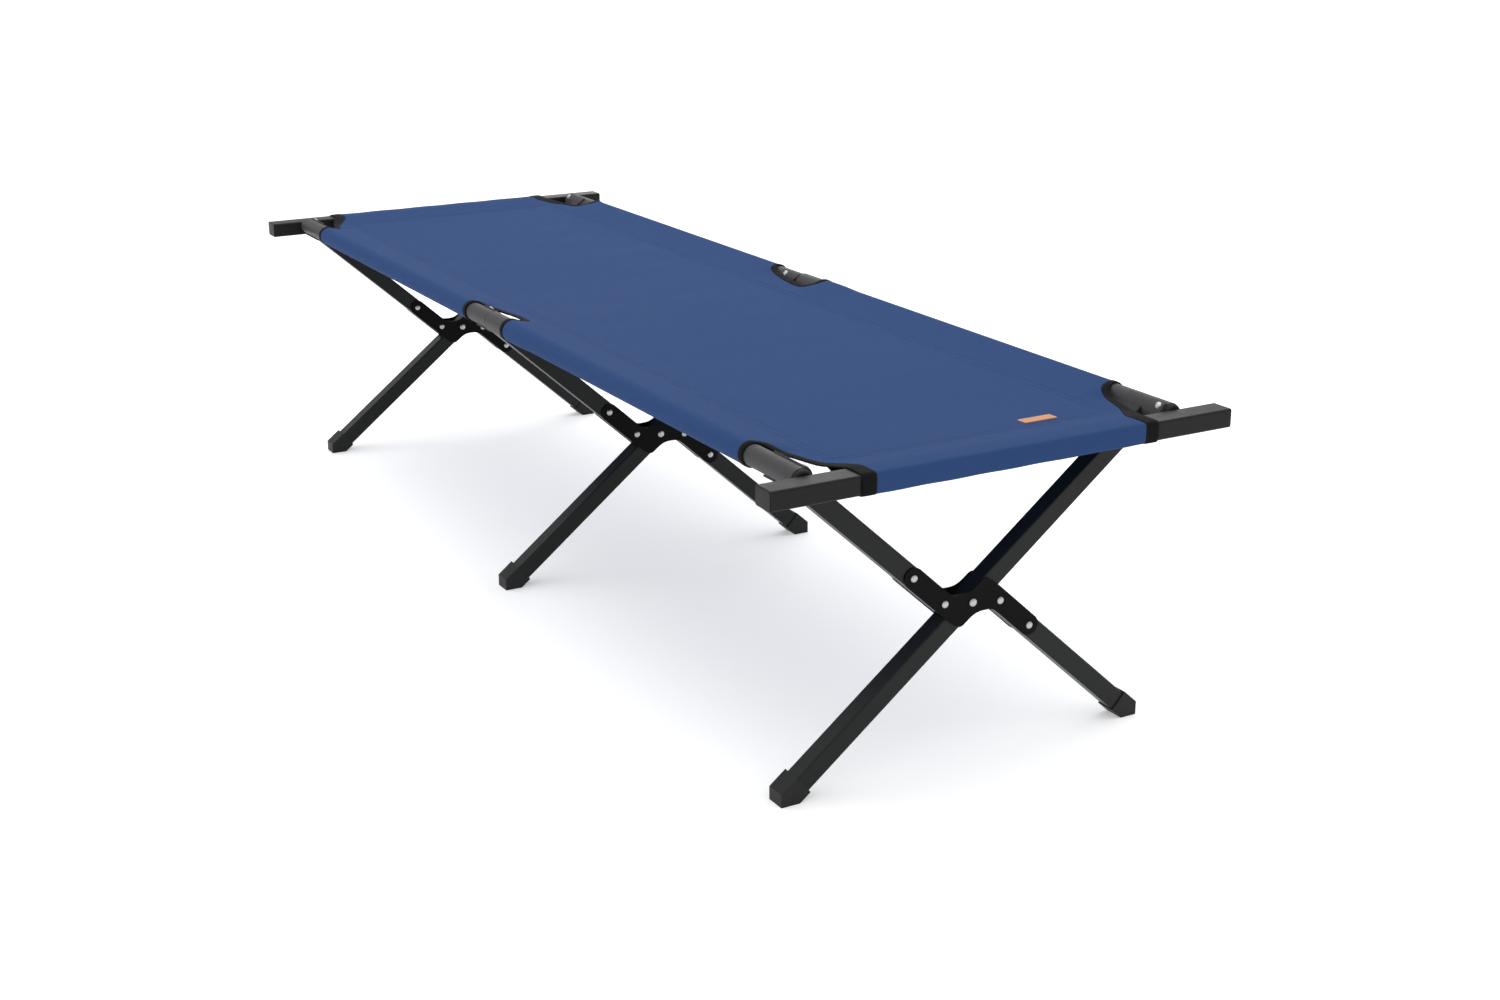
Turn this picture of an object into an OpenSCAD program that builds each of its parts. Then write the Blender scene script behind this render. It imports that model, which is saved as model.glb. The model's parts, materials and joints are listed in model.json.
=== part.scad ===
// Folding camp cot: three scissor leg frames carry two round side rails, two
// rectangular end bars stretch a fabric bed cover between them.
// Frame: origin on the floor under the middle of the cot, +X towards the foot
// end (label end), +Y towards the far side, +Z up. Millimetres.

/* [Overall] */
// Half of the overall length, to the outer face of an end bar
half_length = 950; // [880:1:1050]
// Half of the length of an end bar, caps included
bar_half = 340; // [320:1:380]
// Height of a side rail's centre line above the floor
rail_z = 434; // [400:1:470]
// Distance of a side rail's centre line from the middle
rail_y = 275; // [250:1:300]

/* [Side rails] */
// Outer diameter of a rail tube
rail_d = 28; // [25:0.5:30]
// Wall of a rail tube
rail_wall = 1.5; // [1:0.1:2]
// Outer diameter of the swaged socket at the middle of a rail
socket_d = 31.4; // [31.4:0.1:32]
// Length of the swaged socket
socket_len = 96; // [80:1:110]
// How deep the head half sits in the socket
spigot_len = 50; // [45:1:60]

/* [End bars] */
// Width of an end bar along the cot
bar_w = 35; // [30:1:38]
// Height of an end bar
bar_h = 25; // [20:1:26]
// Wall of an end bar
bar_wall = 1.5; // [1.2:0.1:2]
// Diameter of the studs that locate the bar in the rails
stud_d = 8; // [6:0.5:8]

/* [Scissor legs] */
// Side of the square leg tube
leg_w = 26.5; // [24:0.5:27]
// Wall of the leg tube
leg_wall = 1.5; // [1.2:0.1:2]
// Height of the scissor pivot
pivot_z = 217.5; // [205:0.5:230]
// Sideways offset of the split leg from the pivot
leg_offset = 24.6; // [24:0.1:26]
// Position of the end leg frames from the middle
end_frame_x = 858; // [800:1:870]
// Position of the middle leg frame
mid_frame_x = -3; // [-6:1:-1]
// Thickness of a joint plate
plate_t = 2; // [1.5:0.1:3]
// Half width of a joint plate's arm
plate_r = 14; // [13:0.1:15]

/* [Bed cover] */
// Thickness of the cover fabric
cover_t = 1.2; // [0.8:0.1:1.5]
// Half width of the cover at the end bars
end_half = 218; // [205:1:225]
// Where the side sleeves stop, from the middle
sleeve_end = 797; // [760:1:800]
// Where the middle cut-outs start on the head side, from the middle
cut_head = 88; // [80:1:95]
// Where the middle cut-outs stop on the foot side, from the middle
cut_foot = 72; // [66:1:80]
// Half width of the level part of the bed panel
seam_y = 210; // [200:1:220]
// Half length of the level part of the bed panel
seam_x = 870; // [860:1:880]
// Width of the binding on the cut-outs and the side sleeves
binding_w = 10; // [6:0.5:12]
// Width of the binding on the end sleeves' mouths
mouth_w = 19; // [12:0.5:22]

/* [Hidden] */

$fn = 48;
rail_r = rail_d / 2;
tube_end = half_length - bar_w - 7;     // end of a rail tube
bush_end = half_length - bar_w - 0.6;    // outer face of a rail bush
bar_in = half_length - bar_w;            // inner face of an end bar
bar_z = rail_z - 5;                    // centre height of an end bar
rise = rail_z - pivot_z;
arm = sqrt(rail_y * rail_y + rise * rise);   // pivot to rail centre
ang_b = atan2(rise, rail_y);                 // slope of the straight leg
ang_a = ang_b + asin(leg_offset / arm);      // slope of the split leg
saddle_in = rail_r + 0.2;
saddle_out = rail_r + 2.7;
rivet_lean = 40;                         // lean of the rail rivets above level
clr = 0.2;                               // running gap of the straight leg
s1 = 100;                                // outer plate rivet along the split leg
s2 = 35.5;                               // inner plate rivet along the split leg
sl_in = socket_d / 2 + 0.4;              // inner radius of a side sleeve
sl_out = sl_in + cover_t;
lean = 14;                               // slope of the panel's flanks
flank_y = rail_y - sl_out * sin(lean);   // where a flank leaves its sleeve
flank_z = rail_z + sl_out * cos(lean);
panel_z = flank_z - (flank_y - seam_y) * tan(lean);  // top of the level part
edge_z = bar_z + bar_h / 2 + 0.4 + cover_t;          // top of an end sleeve

// ---- helpers ----
module rrect(w, h, r) {
  square([w - 2 * r, h], center = true);
  square([w, h - 2 * r], center = true);
  for (x = [-1, 1], y = [-1, 1]) translate([x * (w / 2 - r), y * (h / 2 - r)]) circle(r = r, $fn = 24);
}
// cylinder along +X from x0 to x1 at side s (-1 near, 1 far)
module xcyl(x0, x1, r, s) {
  translate([x0, s * rail_y, rail_z]) rotate([0, 90, 0]) cylinder(h = x1 - x0, r = r);
}
module xtube(x0, x1, ro, ri, s) {
  difference() { xcyl(x0, x1, ro, s); xcyl(x0 - 1, x1 + 1, ri, s); }
}
// frame of the leg plane: x of the child runs along the leg, y across, z along the cot
module leg_frame(x, a) {
  translate([x, 0, pivot_z]) rotate([a, 0, 0]) rotate([0, 0, 90]) rotate([90, 0, 0]) children();
}
// square tube along a leg line, from s0 to s1, offset o across
module leg_tube(x, a, s0, e1, o, w) {
  leg_frame(x, a) translate([s0, o, 0]) rotate([90, 0, 90]) linear_extrude(height = e1 - s0)
    difference() { rrect(leg_w, w, 2.5); rrect(leg_w - 2 * leg_wall, w - 2 * leg_wall, 1); }
}
module dome(r, h) {
  rotate_extrude() polygon([[0, 0], [r, 0], [r * 0.97, h * 0.3], [r * 0.86, h * 0.6], [r * 0.62, h * 0.85], [r * 0.3, h * 0.97], [0, h]]);
}
// rivet along +Z of the child frame, shaft from 0 to l, a dome at each end
module rivet(d, l, hr, hh) {
  cylinder(h = l, d = d);
  translate([0, 0, l]) dome(hr, hh);
  mirror([0, 0, 1]) dome(hr, hh);
}

// ---- rails ----
// place a rail rivet frame: origin on the rail centre at x, +Z towards the rivet's head
module rivet_axis(x, s) {
  translate([x, s * rail_y, rail_z]) rotate([s * (90 - rivet_lean), 0, 0]) children();
}
function rivet_x(i) = i == 0 ? -end_frame_x - 40 : i == 1 ? mid_frame_x - 35 : end_frame_x + 40;
module rail_head_half(s) color([0.33, 0.33, 0.34]) difference() {
  xtube(-tube_end, spigot_len, rail_r, rail_r - rail_wall, s);
  for (i = [0, 1]) rivet_axis(rivet_x(i), s) translate([0, 0, 6]) cylinder(h = 20, d = 6.2);
}
module rail_foot_half(s) color([0.33, 0.33, 0.34]) difference() {
  union() {
    xtube(socket_len + 8, tube_end, rail_r, rail_r - rail_wall, s);
    xtube(socket_len, socket_len + 10, socket_d / 2, rail_r - rail_wall, s);
    xtube(0, socket_len + 0.01, socket_d / 2, rail_r + 0.3, s);
  }
  rivet_axis(rivet_x(2), s) translate([0, 0, 6]) cylinder(h = 20, d = 6.2);
}
// plastic bush in a rail's end, e -1 head end, 1 foot end. The near pair is
// slotted so that the studs can leave while the side swings in.
module rail_bush(s, e) color([0.06, 0.06, 0.06]) difference() {
  translate([0, s * rail_y, rail_z]) rotate([0, e * 90, 0]) rotate_extrude()
    polygon([[0, tube_end - 6], [rail_r - rail_wall - 0.1, tube_end - 6], [rail_r - rail_wall - 0.1, tube_end],
             [rail_r - 0.8, tube_end], [rail_r - 0.9, bush_end - 3.4], [rail_r - 1.7, bush_end - 1.6], [rail_r - 3, bush_end - 0.4], [rail_r - 4.6, bush_end], [0, bush_end]]);
  for (k = (s < 0 ? [0, 1] : [0])) translate([e * (tube_end - 12), s * rail_y - k * 6.6 * rise / arm, rail_z - k * 6.6 * rail_y / arm])
    rotate([0, e * 90, 0]) cylinder(h = 40, d = stud_d + 0.6);
  if (s < 0) translate([e * (tube_end + 2), s * rail_y, rail_z]) rotate([atan2(rail_y, rise), 0, 0])
    translate([-20, -6.6, -(stud_d + 0.6) / 2]) cube([40, 6.6, stud_d + 0.6]);
}

// ---- end bars ----
module end_bar(e) color([0.26, 0.26, 0.27]) translate([e * (half_length - bar_w / 2), 0, bar_z]) rotate([90, 0, 0])
  translate([0, 0, -(bar_half - 3)]) linear_extrude(height = 2 * (bar_half - 3))
    difference() { rrect(bar_w, bar_h, 3); rrect(bar_w - 2 * bar_wall, bar_h - 2 * bar_wall, 1.5); }
module bar_cap(e, s) color([0.07, 0.07, 0.07]) translate([e * (half_length - bar_w / 2), 0, bar_z]) rotate([s * -90, 0, 0]) {
  translate([0, 0, bar_half - 3]) linear_extrude(height = 2) rrect(bar_w, bar_h, 3);
  translate([0, 0, bar_half - 1]) linear_extrude(height = 0.6) rrect(bar_w - 0.9, bar_h - 0.9, 3);
  translate([0, 0, bar_half - 0.4]) linear_extrude(height = 0.4) rrect(bar_w - 2.4, bar_h - 2.4, 3);
  translate([0, 0, bar_half - 24]) linear_extrude(height = 21) difference() {
    rrect(bar_w - 2 * bar_wall - 0.3, bar_h - 2 * bar_wall - 0.3, 1.4);
    rrect(bar_w - 2 * bar_wall - 5, bar_h - 2 * bar_wall - 5, 1);
  }
}
module bar_studs(e) color([0.6, 0.6, 0.62]) for (s = [-1, 1])
  translate([e * (bar_in - 4.1), s * rail_y, rail_z]) rotate([0, e * 90, 0]) {
    translate([0, 0, 0.8]) cylinder(h = 3.3, d = stud_d);
    cylinder(h = 0.8, d1 = stud_d - 1.6, d2 = stud_d);
  }

// ---- legs ----
// straight leg: near foot to far rail
module long_leg(x) color([0.15, 0.16, 0.16]) difference() {
  leg_tube(x, ang_b, -pivot_z / sin(ang_b) + 20, arm - 9, 0, leg_w - 2 * clr);
  xcyl(x - 20, x + 20, saddle_out, 1);
  leg_frame(x, ang_b) translate([0, 0, -20]) cylinder(h = 40, d = 8.2);
}
// split leg, upper part: near rail to the plates
module upper_leg(x) color([0.15, 0.16, 0.16]) difference() {
  leg_tube(x, 180 - ang_a, s2 - 10, arm - 9, leg_offset, leg_w);
  xcyl(x - 20, x + 20, saddle_out, -1);
  for (s = [s1, s2]) leg_frame(x, 180 - ang_a) translate([s, leg_offset, -20]) cylinder(h = 40, d = 6.2);
}
// split leg, lower part: plates to the far foot
module lower_leg(x) color([0.15, 0.16, 0.16]) difference() {
  leg_tube(x, -ang_a, s2 - 10, pivot_z / sin(ang_a) + leg_offset / tan(ang_a) - 20, leg_offset, leg_w);
  for (s = [s1, s2]) leg_frame(x, -ang_a) translate([s, leg_offset, -20]) cylinder(h = 40, d = 6.2);
}
// rivet centre on the split leg, k 1 upper, -1 lower
function arm_pt(s, k) = [k * (-leg_offset * sin(ang_a) - s * cos(ang_a)), k * (-leg_offset * cos(ang_a) + s * sin(ang_a))];
function nose(k) = [for (i = [0:12]) arm_pt(s1, k) + plate_r * [cos(90 - ang_a + i * 15 + (k < 0 ? 180 : 0)), sin(90 - ang_a + i * 15 + (k < 0 ? 180 : 0))]];
// control points of the plate's edge, from one arm round the foot of the straight leg to the other arm
edge_pts = [[44, -25.3], [35.3, -17.9], [28.5, -14.8], [21, -14], [12, -14.2], [5.5, -15.6], [-0.5, -18.4], [-6, -22.2], [-11, -26], [-15.6, -28.9], [-20.5, -29.4], [-27, -26.2], [-33, -21.8], [-40.5, -15.4], [-51.8, -5.3]];
// smooth curve through the points p
function spline(p, n) = concat([p[0]], [for (i = [1:len(p) - 3], j = [0:n - 1]) let (t = j / n, a = p[i - 1], b = p[i], c = p[i + 1], d = p[i + 2])
  0.5 * (2 * b + t * (c - a) + t * t * (2 * a - 5 * b + 4 * c - d) + t * t * t * (3 * b - a - 3 * c + d))], [p[len(p) - 2], p[len(p) - 1]]);
half_edge = spline(edge_pts, 4);
module plate(x, e) color([0.08, 0.08, 0.08]) translate([x + (e > 0 ? leg_w / 2 : -leg_w / 2 - plate_t), 0, pivot_z]) rotate([90, 0, 90])
  difference() {
    linear_extrude(height = plate_t) polygon(concat(nose(1), [for (i = [len(half_edge) - 1:-1:0]) half_edge[i]], nose(-1), [for (i = [len(half_edge) - 1:-1:0]) -half_edge[i]]));
    translate([0, 0, -1]) cylinder(h = 9, d = 8.1);
    for (k = [-1, 1], s = [s1, s2]) translate([arm_pt(s, k)[0], arm_pt(s, k)[1], -1]) cylinder(h = 9, d = 6.2);
  }
module pivot_rivet(x) color([0.66, 0.66, 0.66]) translate([x - leg_w / 2 - plate_t - 0.2, 0, pivot_z]) rotate([0, 90, 0])
  rivet(8, leg_w + 2 * plate_t + 0.4, 5.6, 2.6);
module plate_rivets(x) color([0.66, 0.66, 0.66]) for (k = [-1, 1], s = [s1, s2])
  translate([x - leg_w / 2 - plate_t, arm_pt(s, k)[0], pivot_z + arm_pt(s, k)[1]]) rotate([0, 90, 0]) rivet(6, leg_w + 2 * plate_t, 5, 2.4);
// saddle welded on the leg's top: it wraps the inner side and the underside of
// the rail, has a rounded upper corner and is riveted to the rail
module saddle(i, s) {
  lx = i == 0 ? -end_frame_x : i == 1 ? mid_frame_x : end_frame_x;
  x0 = i == 2 ? lx - 22 : rivet_x(i) - (i == 0 ? 9 : 12);
  x1 = i == 2 ? rivet_x(i) + 9 : i == 1 ? -0.5 : lx + 22;
  cr = 13;
  color([0.3, 0.3, 0.31]) difference() {
    xtube(x0, x1, saddle_out, saddle_in, s);
    // open above the rivet and on the outer side
    translate([x0 - 1, s * rail_y, rail_z]) rotate([90, 0, 90]) linear_extrude(height = x1 - x0 + 2)
      polygon(concat([[0, 0]], [for (a = [66, 100, 140, 180, 220, 237]) 40 * [-s * cos(a), sin(a)]]));
    // rounded upper corner on the leg's side
    rivet_axis(i == 2 ? x0 : x1, s) translate([0, -s * 7.4, 4]) mirror([i == 2 ? 0 : 1, 0, 0]) mirror([0, s < 0 ? 0 : 1, 0]) linear_extrude(height = 20) difference() {
      translate([-1, -cr]) square([cr + 1, cr + 10]);
      translate([cr, -cr]) circle(r = cr);
      translate([cr, -cr]) square([1, 1]);
    }
    rivet_axis(rivet_x(i), s) translate([0, 0, 6]) cylinder(h = 20, d = 6.2);
    rivet_axis(rivet_x(i), s) translate([0, 0, saddle_out - 0.7]) cylinder(h = 6, r = 6);
  }
}
// blind rivet: a dome outside, a bulb inside the rail
module saddle_rivet(i, s) color([0.66, 0.66, 0.66]) rivet_axis(rivet_x(i), s) {
  translate([0, 0, 8.5]) cylinder(h = saddle_out - 0.7 - 8.5, d = 6);
  translate([0, 0, 8.5]) cylinder(h = 2.9, d = 7.6);
  translate([0, 0, saddle_out - 0.7]) dome(5, 2.6);
}
// angled foot cap, s -1 near foot of the straight leg, 1 far foot of the split leg
module foot_cap(x, s) {
  a = s < 0 ? ang_b : ang_a;
  c = s < 0 ? pivot_z / tan(ang_b) : (pivot_z - leg_offset / cos(ang_a)) / tan(ang_a) + 2 * leg_offset / sin(ang_a);
  u = [-cos(a), sin(a)]; n = [sin(a), cos(a)];
  l = 38;
  o1 = [c, 0] + 15.9 * n; o2 = [c, 0] - 14.8 * n;
  color([0.12, 0.12, 0.12]) difference() {
    translate([x - 14.9, 0, 0]) rotate([90, 0, 90]) linear_extrude(height = 29.8)
      polygon([for (p = [[c + 3, 0], o1 - u * ((o1[0] - c - 3) / u[0]), o1 + u * l, o2 + u * l, o2 - u * (o2[1] / u[1])]) [s * p[0], p[1]]]);
    translate([x, s * c, 0]) rotate([s * (90 - a), 0, 0]) translate([-(leg_w + 0.2) / 2, -(leg_w + 0.2) / 2, 19.9]) cube([leg_w + 0.2, leg_w + 0.2, 80]);
  }
}

// ---- bed cover ----
module plan() {
  // outline of the taut bed panel with its four corner notches and two middle cut-outs
  a = sleeve_end; y0 = rail_y + 2;
  q = [[a, y0], [a + 6, y0 - 17], [a + 26, y0 - 24], [a + 44, y0 - 32], [a + 76, y0 - 44], [bar_in - 16, y0 - 51], [bar_in + 2, end_half], [bar_in + 5, end_half - 6]];
  m = [[-cut_head, y0], [4 - cut_head, y0 - 13], [16 - cut_head, y0 - 25], [38 - cut_head, y0 - 35], [63 - cut_head, y0 - 39],
       [cut_foot - 72, y0 - 39], [cut_foot - 50, y0 - 35], [cut_foot - 30, y0 - 25], [cut_foot - 12, y0 - 13], [cut_foot, y0]];
  far = concat([for (i = [len(q) - 1:-1:0]) [-q[i][0], q[i][1]]], m, q);
  polygon(concat(far, [for (i = [len(far) - 1:-1:0]) [far[i][0], -far[i][1]]]));
}
// the cover's panel, level with the middle of the rails, with flanks that rise to the rails and bars
module bed_panel() color([0.26, 0.35, 0.53]) difference() {
  intersection() {
    linear_extrude(height = 600) plan();
    union() {
      translate([-seam_x, -seam_y, panel_z - cover_t]) cube([2 * seam_x, 2 * seam_y, cover_t]);
      translate([-seam_x - 30, 0, 0]) rotate([90, 0, 90]) linear_extrude(height = 2 * seam_x + 60) for (s = [-1, 1])
        polygon([for (p = [[seam_y - 0.5, panel_z - cover_t], [seam_y - 0.5, panel_z], [seam_y, panel_z], [flank_y, flank_z], [flank_y + 3, flank_z - 1], [flank_y, flank_z - 1.25 * cover_t], [seam_y, panel_z - cover_t]]) [s * p[0], p[1]]]);
      for (e = [-1, 1]) translate([0, seam_y + 12, 0]) rotate([90, 0, 0]) linear_extrude(height = 2 * seam_y + 24)
        polygon([for (p = [[seam_x - 0.5, panel_z - cover_t], [seam_x - 0.5, panel_z], [seam_x, panel_z], [bar_in + 5, edge_z], [bar_in + 5, edge_z - cover_t], [seam_x, panel_z - cover_t]]) [e * p[0], p[1]]]);
    }
  }
  translate([837, 85, panel_z - 0.8]) cube([18, 51, 2]);
  for (s = [-1, 1]) xcyl(-half_length, half_length, sl_out, s);
  for (e = [-1, 1]) translate([e * (half_length - bar_w / 2), end_half + 20, bar_z]) rotate([90, 0, 0])
    linear_extrude(height = 2 * end_half + 40) rrect(bar_w + 0.8 + 2 * cover_t, bar_h + 0.8 + 2 * cover_t, 4);
}
// the cover's sleeves round the rails and the end bars
module bed_sleeves() color([0.24, 0.33, 0.5]) {
  for (s = [-1, 1]) {
    xtube(-sleeve_end + binding_w, -cut_head - binding_w, sl_out, sl_in, s);
    xtube(cut_foot + binding_w, sleeve_end - binding_w, sl_out, sl_in, s);
  }
  for (e = [-1, 1]) translate([e * (half_length - bar_w / 2), end_half - mouth_w, bar_z]) rotate([90, 0, 0])
    linear_extrude(height = 2 * (end_half - mouth_w)) difference() {
      rrect(bar_w + 0.8 + 2 * cover_t, bar_h + 0.8 + 2 * cover_t, 4);
      rrect(bar_w + 0.8, bar_h + 0.8, 3);
    }
}
// binding ring round a side sleeve's mouth, open where the panel leaves the sleeve
module sleeve_binding(x0, x1, s) difference() {
  xtube(x0, x1, sl_out + 0.6, sl_in, s);
  translate([x0 - 1, s > 0 ? rail_y - 25 : -rail_y, rail_z + 9]) cube([x1 - x0 + 2, 25, 20]);
}
module corner_bindings() color([0.06, 0.06, 0.06]) {
  for (s = [-1, 1]) {
    sleeve_binding(sleeve_end - binding_w, sleeve_end, s);
    sleeve_binding(-sleeve_end, -sleeve_end + binding_w, s);
  }
  for (s = [-1, 1], e = [-1, 1]) translate([e * (half_length - bar_w / 2), s * (end_half - mouth_w / 2) + mouth_w / 2, bar_z]) rotate([90, 0, 0])
    linear_extrude(height = mouth_w) difference() {
      rrect(bar_w + 2 + 2 * cover_t, bar_h + 2 + 2 * cover_t, 4);
      rrect(bar_w + 0.8, bar_h + 0.8, 3);
      translate([e * (-bar_w / 2 - 6), bar_h / 2 + 2]) square([12, 9], center = true);
    }
}
module middle_bindings() color([0.06, 0.06, 0.06]) for (s = [-1, 1]) {
  sleeve_binding(-cut_head - binding_w, -cut_head, s);
  sleeve_binding(cut_foot, cut_foot + binding_w, s);
}
module label_patch() color([0.72, 0.45, 0.25]) translate([837, 85, panel_z - 0.8]) cube([18, 51, 0.8]);

rail_head_half(-1);  // near_rail_head_half
rail_foot_half(-1);  // near_rail_foot_half
rail_head_half(1);  // far_rail_head_half
rail_foot_half(1);  // far_rail_foot_half
rail_bush(-1, -1);  // near_rail_head_bush
rail_bush(-1, 1);  // near_rail_foot_bush
rail_bush(1, -1);  // far_rail_head_bush
rail_bush(1, 1);  // far_rail_foot_bush
end_bar(-1);  // head_bar
bar_cap(-1, -1);  // head_bar_near_cap
bar_cap(-1, 1);  // head_bar_far_cap
bar_studs(-1);  // head_bar_studs
end_bar(1);  // foot_bar
bar_cap(1, -1);  // foot_bar_near_cap
bar_cap(1, 1);  // foot_bar_far_cap
bar_studs(1);  // foot_bar_studs
long_leg(-end_frame_x);  // head_long_leg
long_leg(mid_frame_x);  // middle_long_leg
long_leg(end_frame_x);  // foot_long_leg
upper_leg(-end_frame_x);  // head_upper_leg
upper_leg(mid_frame_x);  // middle_upper_leg
upper_leg(end_frame_x);  // foot_upper_leg
lower_leg(-end_frame_x);  // head_lower_leg
lower_leg(mid_frame_x);  // middle_lower_leg
lower_leg(end_frame_x);  // foot_lower_leg
plate(-end_frame_x, -1);  // head_outer_plate
plate(-end_frame_x, 1);  // head_inner_plate
plate(mid_frame_x, -1);  // middle_head_plate
plate(mid_frame_x, 1);  // middle_foot_plate
plate(end_frame_x, -1);  // foot_inner_plate
plate(end_frame_x, 1);  // foot_outer_plate
pivot_rivet(-end_frame_x);  // head_pivot_rivet
pivot_rivet(mid_frame_x);  // middle_pivot_rivet
pivot_rivet(end_frame_x);  // foot_pivot_rivet
plate_rivets(-end_frame_x);  // head_plate_rivets
plate_rivets(mid_frame_x);  // middle_plate_rivets
plate_rivets(end_frame_x);  // foot_plate_rivets
saddle(0, -1);  // near_head_saddle
saddle(1, -1);  // near_middle_saddle
saddle(2, -1);  // near_foot_saddle
saddle(0, 1);  // far_head_saddle
saddle(1, 1);  // far_middle_saddle
saddle(2, 1);  // far_foot_saddle
union() { saddle_rivet(0, -1); saddle_rivet(1, -1); }  // near_head_half_saddle_rivets
saddle_rivet(2, -1);  // near_foot_half_saddle_rivet
union() { saddle_rivet(0, 1); saddle_rivet(1, 1); }  // far_head_half_saddle_rivets
saddle_rivet(2, 1);  // far_foot_half_saddle_rivet
foot_cap(-end_frame_x, -1);  // head_near_foot
foot_cap(mid_frame_x, -1);  // middle_near_foot
foot_cap(end_frame_x, -1);  // foot_near_foot
foot_cap(-end_frame_x, 1);  // head_far_foot
foot_cap(mid_frame_x, 1);  // middle_far_foot
foot_cap(end_frame_x, 1);  // foot_far_foot
bed_panel();
bed_sleeves();
corner_bindings();
middle_bindings();
label_patch();
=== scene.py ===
import bpy, bmesh, math, json
from math import sin, cos, pi, radians, atan2, hypot, sqrt
from mathutils import Vector, Matrix


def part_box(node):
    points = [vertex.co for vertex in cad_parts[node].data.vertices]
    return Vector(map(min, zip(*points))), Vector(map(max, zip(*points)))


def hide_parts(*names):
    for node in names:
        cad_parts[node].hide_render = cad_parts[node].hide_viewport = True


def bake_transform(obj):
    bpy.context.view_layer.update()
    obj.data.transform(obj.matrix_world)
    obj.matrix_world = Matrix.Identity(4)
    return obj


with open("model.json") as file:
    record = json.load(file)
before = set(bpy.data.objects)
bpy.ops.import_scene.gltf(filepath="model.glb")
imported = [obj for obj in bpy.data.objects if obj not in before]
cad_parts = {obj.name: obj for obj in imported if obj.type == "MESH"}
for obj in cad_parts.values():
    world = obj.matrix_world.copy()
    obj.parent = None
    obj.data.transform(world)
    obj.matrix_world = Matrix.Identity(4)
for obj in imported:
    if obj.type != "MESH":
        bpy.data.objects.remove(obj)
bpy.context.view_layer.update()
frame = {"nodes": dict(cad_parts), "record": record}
NODES = frame["nodes"]
MM = 0.001


# ------------------------------------------------------------ materials
class Net:
    """A small helper for building a node material."""

    def __init__(self, name, **sockets):
        self.m = bpy.data.materials.new(name)
        self.m.use_nodes = True
        self.t = self.m.node_tree
        self.b = self.t.nodes["Principled BSDF"]
        for k, v in sockets.items():
            self.b.inputs[k].default_value = v

    def node(self, kind, ins=(), **props):
        n = self.t.nodes.new(kind)
        for k, v in props.items():
            setattr(n, k, v)
        for k, v in dict(ins).items():
            s = n.inputs[k]
            if isinstance(v, bpy.types.NodeSocket):
                self.t.links.new(v, s)
            else:
                s.default_value = v
        return n

    def to(self, out, socket):
        self.t.links.new(out, self.b.inputs[socket])

    def coords(self, kind="Object"):
        if not hasattr(self, "_c"):
            self._c = self.node("ShaderNodeTexCoord")
        return self._c.outputs[kind]

    def noise(self, scale, detail=3.0, rough=0.5, at=None):
        return self.node("ShaderNodeTexNoise", {"Vector": at or self.coords(), "Scale": scale, "Detail": detail, "Roughness": rough}).outputs["Fac"]

    def ramp(self, fac, a, b, lo=0.0, hi=1.0):
        n = self.node("ShaderNodeValToRGB", {"Fac": fac})
        e = n.color_ramp.elements
        e[0].position, e[1].position = lo, hi
        e[0].color, e[1].color = (*a, 1) if len(a) == 3 else a, (*b, 1) if len(b) == 3 else b
        return n.outputs["Color"]

    def range(self, v, a, b, lo, hi):
        return self.node("ShaderNodeMapRange", {"Value": v, "From Min": a, "From Max": b, "To Min": lo, "To Max": hi}).outputs["Result"]

    def math(self, op, a, b=0.0, clamp=False):
        n = self.node("ShaderNodeMath", operation=op, use_clamp=clamp)
        for i, v in enumerate((a, b)):
            if isinstance(v, bpy.types.NodeSocket):
                self.t.links.new(v, n.inputs[i])
            else:
                n.inputs[i].default_value = v
        return n.outputs[0]

    def bump(self, height, strength, distance, normal=None):
        ins = {"Height": height, "Strength": strength, "Distance": distance}
        if normal is not None:
            ins["Normal"] = normal
        return self.node("ShaderNodeBump", ins).outputs["Normal"]


def powder_coat(name, col, rough, tex=1500.0, depth=0.00003, vary=0.10, spec=0.45, shade_line_x=None):
    """Satin powder coat: fine orange peel, slightly uneven gloss, faint dust and rubbed patches; given an x, a
    painted shade line across the tube there.
    """
    n = Net(name, Metallic=0.0, **{"Specular IOR Level": spec})
    big = n.noise(9.0, 4.0, 0.55)
    mid = n.noise(70.0, 3.0, 0.6)
    mixed = n.math("ADD", n.math("MULTIPLY", big, 0.6), n.math("MULTIPLY", mid, 0.4))
    lo = tuple(c * (1 - vary) for c in col)
    hi = tuple(min(1, c * (1 + vary)) for c in col)
    colour = n.ramp(mixed, lo, hi, 0.35, 0.65)
    if shade_line_x is not None:
        # painted shade: a dark line where a tube enters the next one's socket, standing in for the shadow in the
        # joint
        x = n.node("ShaderNodeSeparateXYZ", {"Vector": n.coords()}).outputs["X"]
        off = n.math("ABSOLUTE", n.math("SUBTRACT", x, shade_line_x))
        line = n.range(off, 0.0010, 0.0020, 0.10, 1.0)
        scale = n.node("ShaderNodeVectorMath", {0: colour}, operation="SCALE")
        n.t.links.new(line, scale.inputs["Scale"])
        colour = scale.outputs[0]
    n.to(colour, "Base Color")
    n.to(n.range(mixed, 0.3, 0.7, rough - 0.05, rough + 0.07), "Roughness")
    peel = n.noise(tex, 2.0, 0.5)
    wave = n.noise(260.0, 2.0, 0.5)
    h = n.math("ADD", n.math("MULTIPLY", peel, 0.6), n.math("MULTIPLY", wave, 0.4))
    n.to(n.bump(h, 0.5, depth), "Normal")
    return n.m


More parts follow.
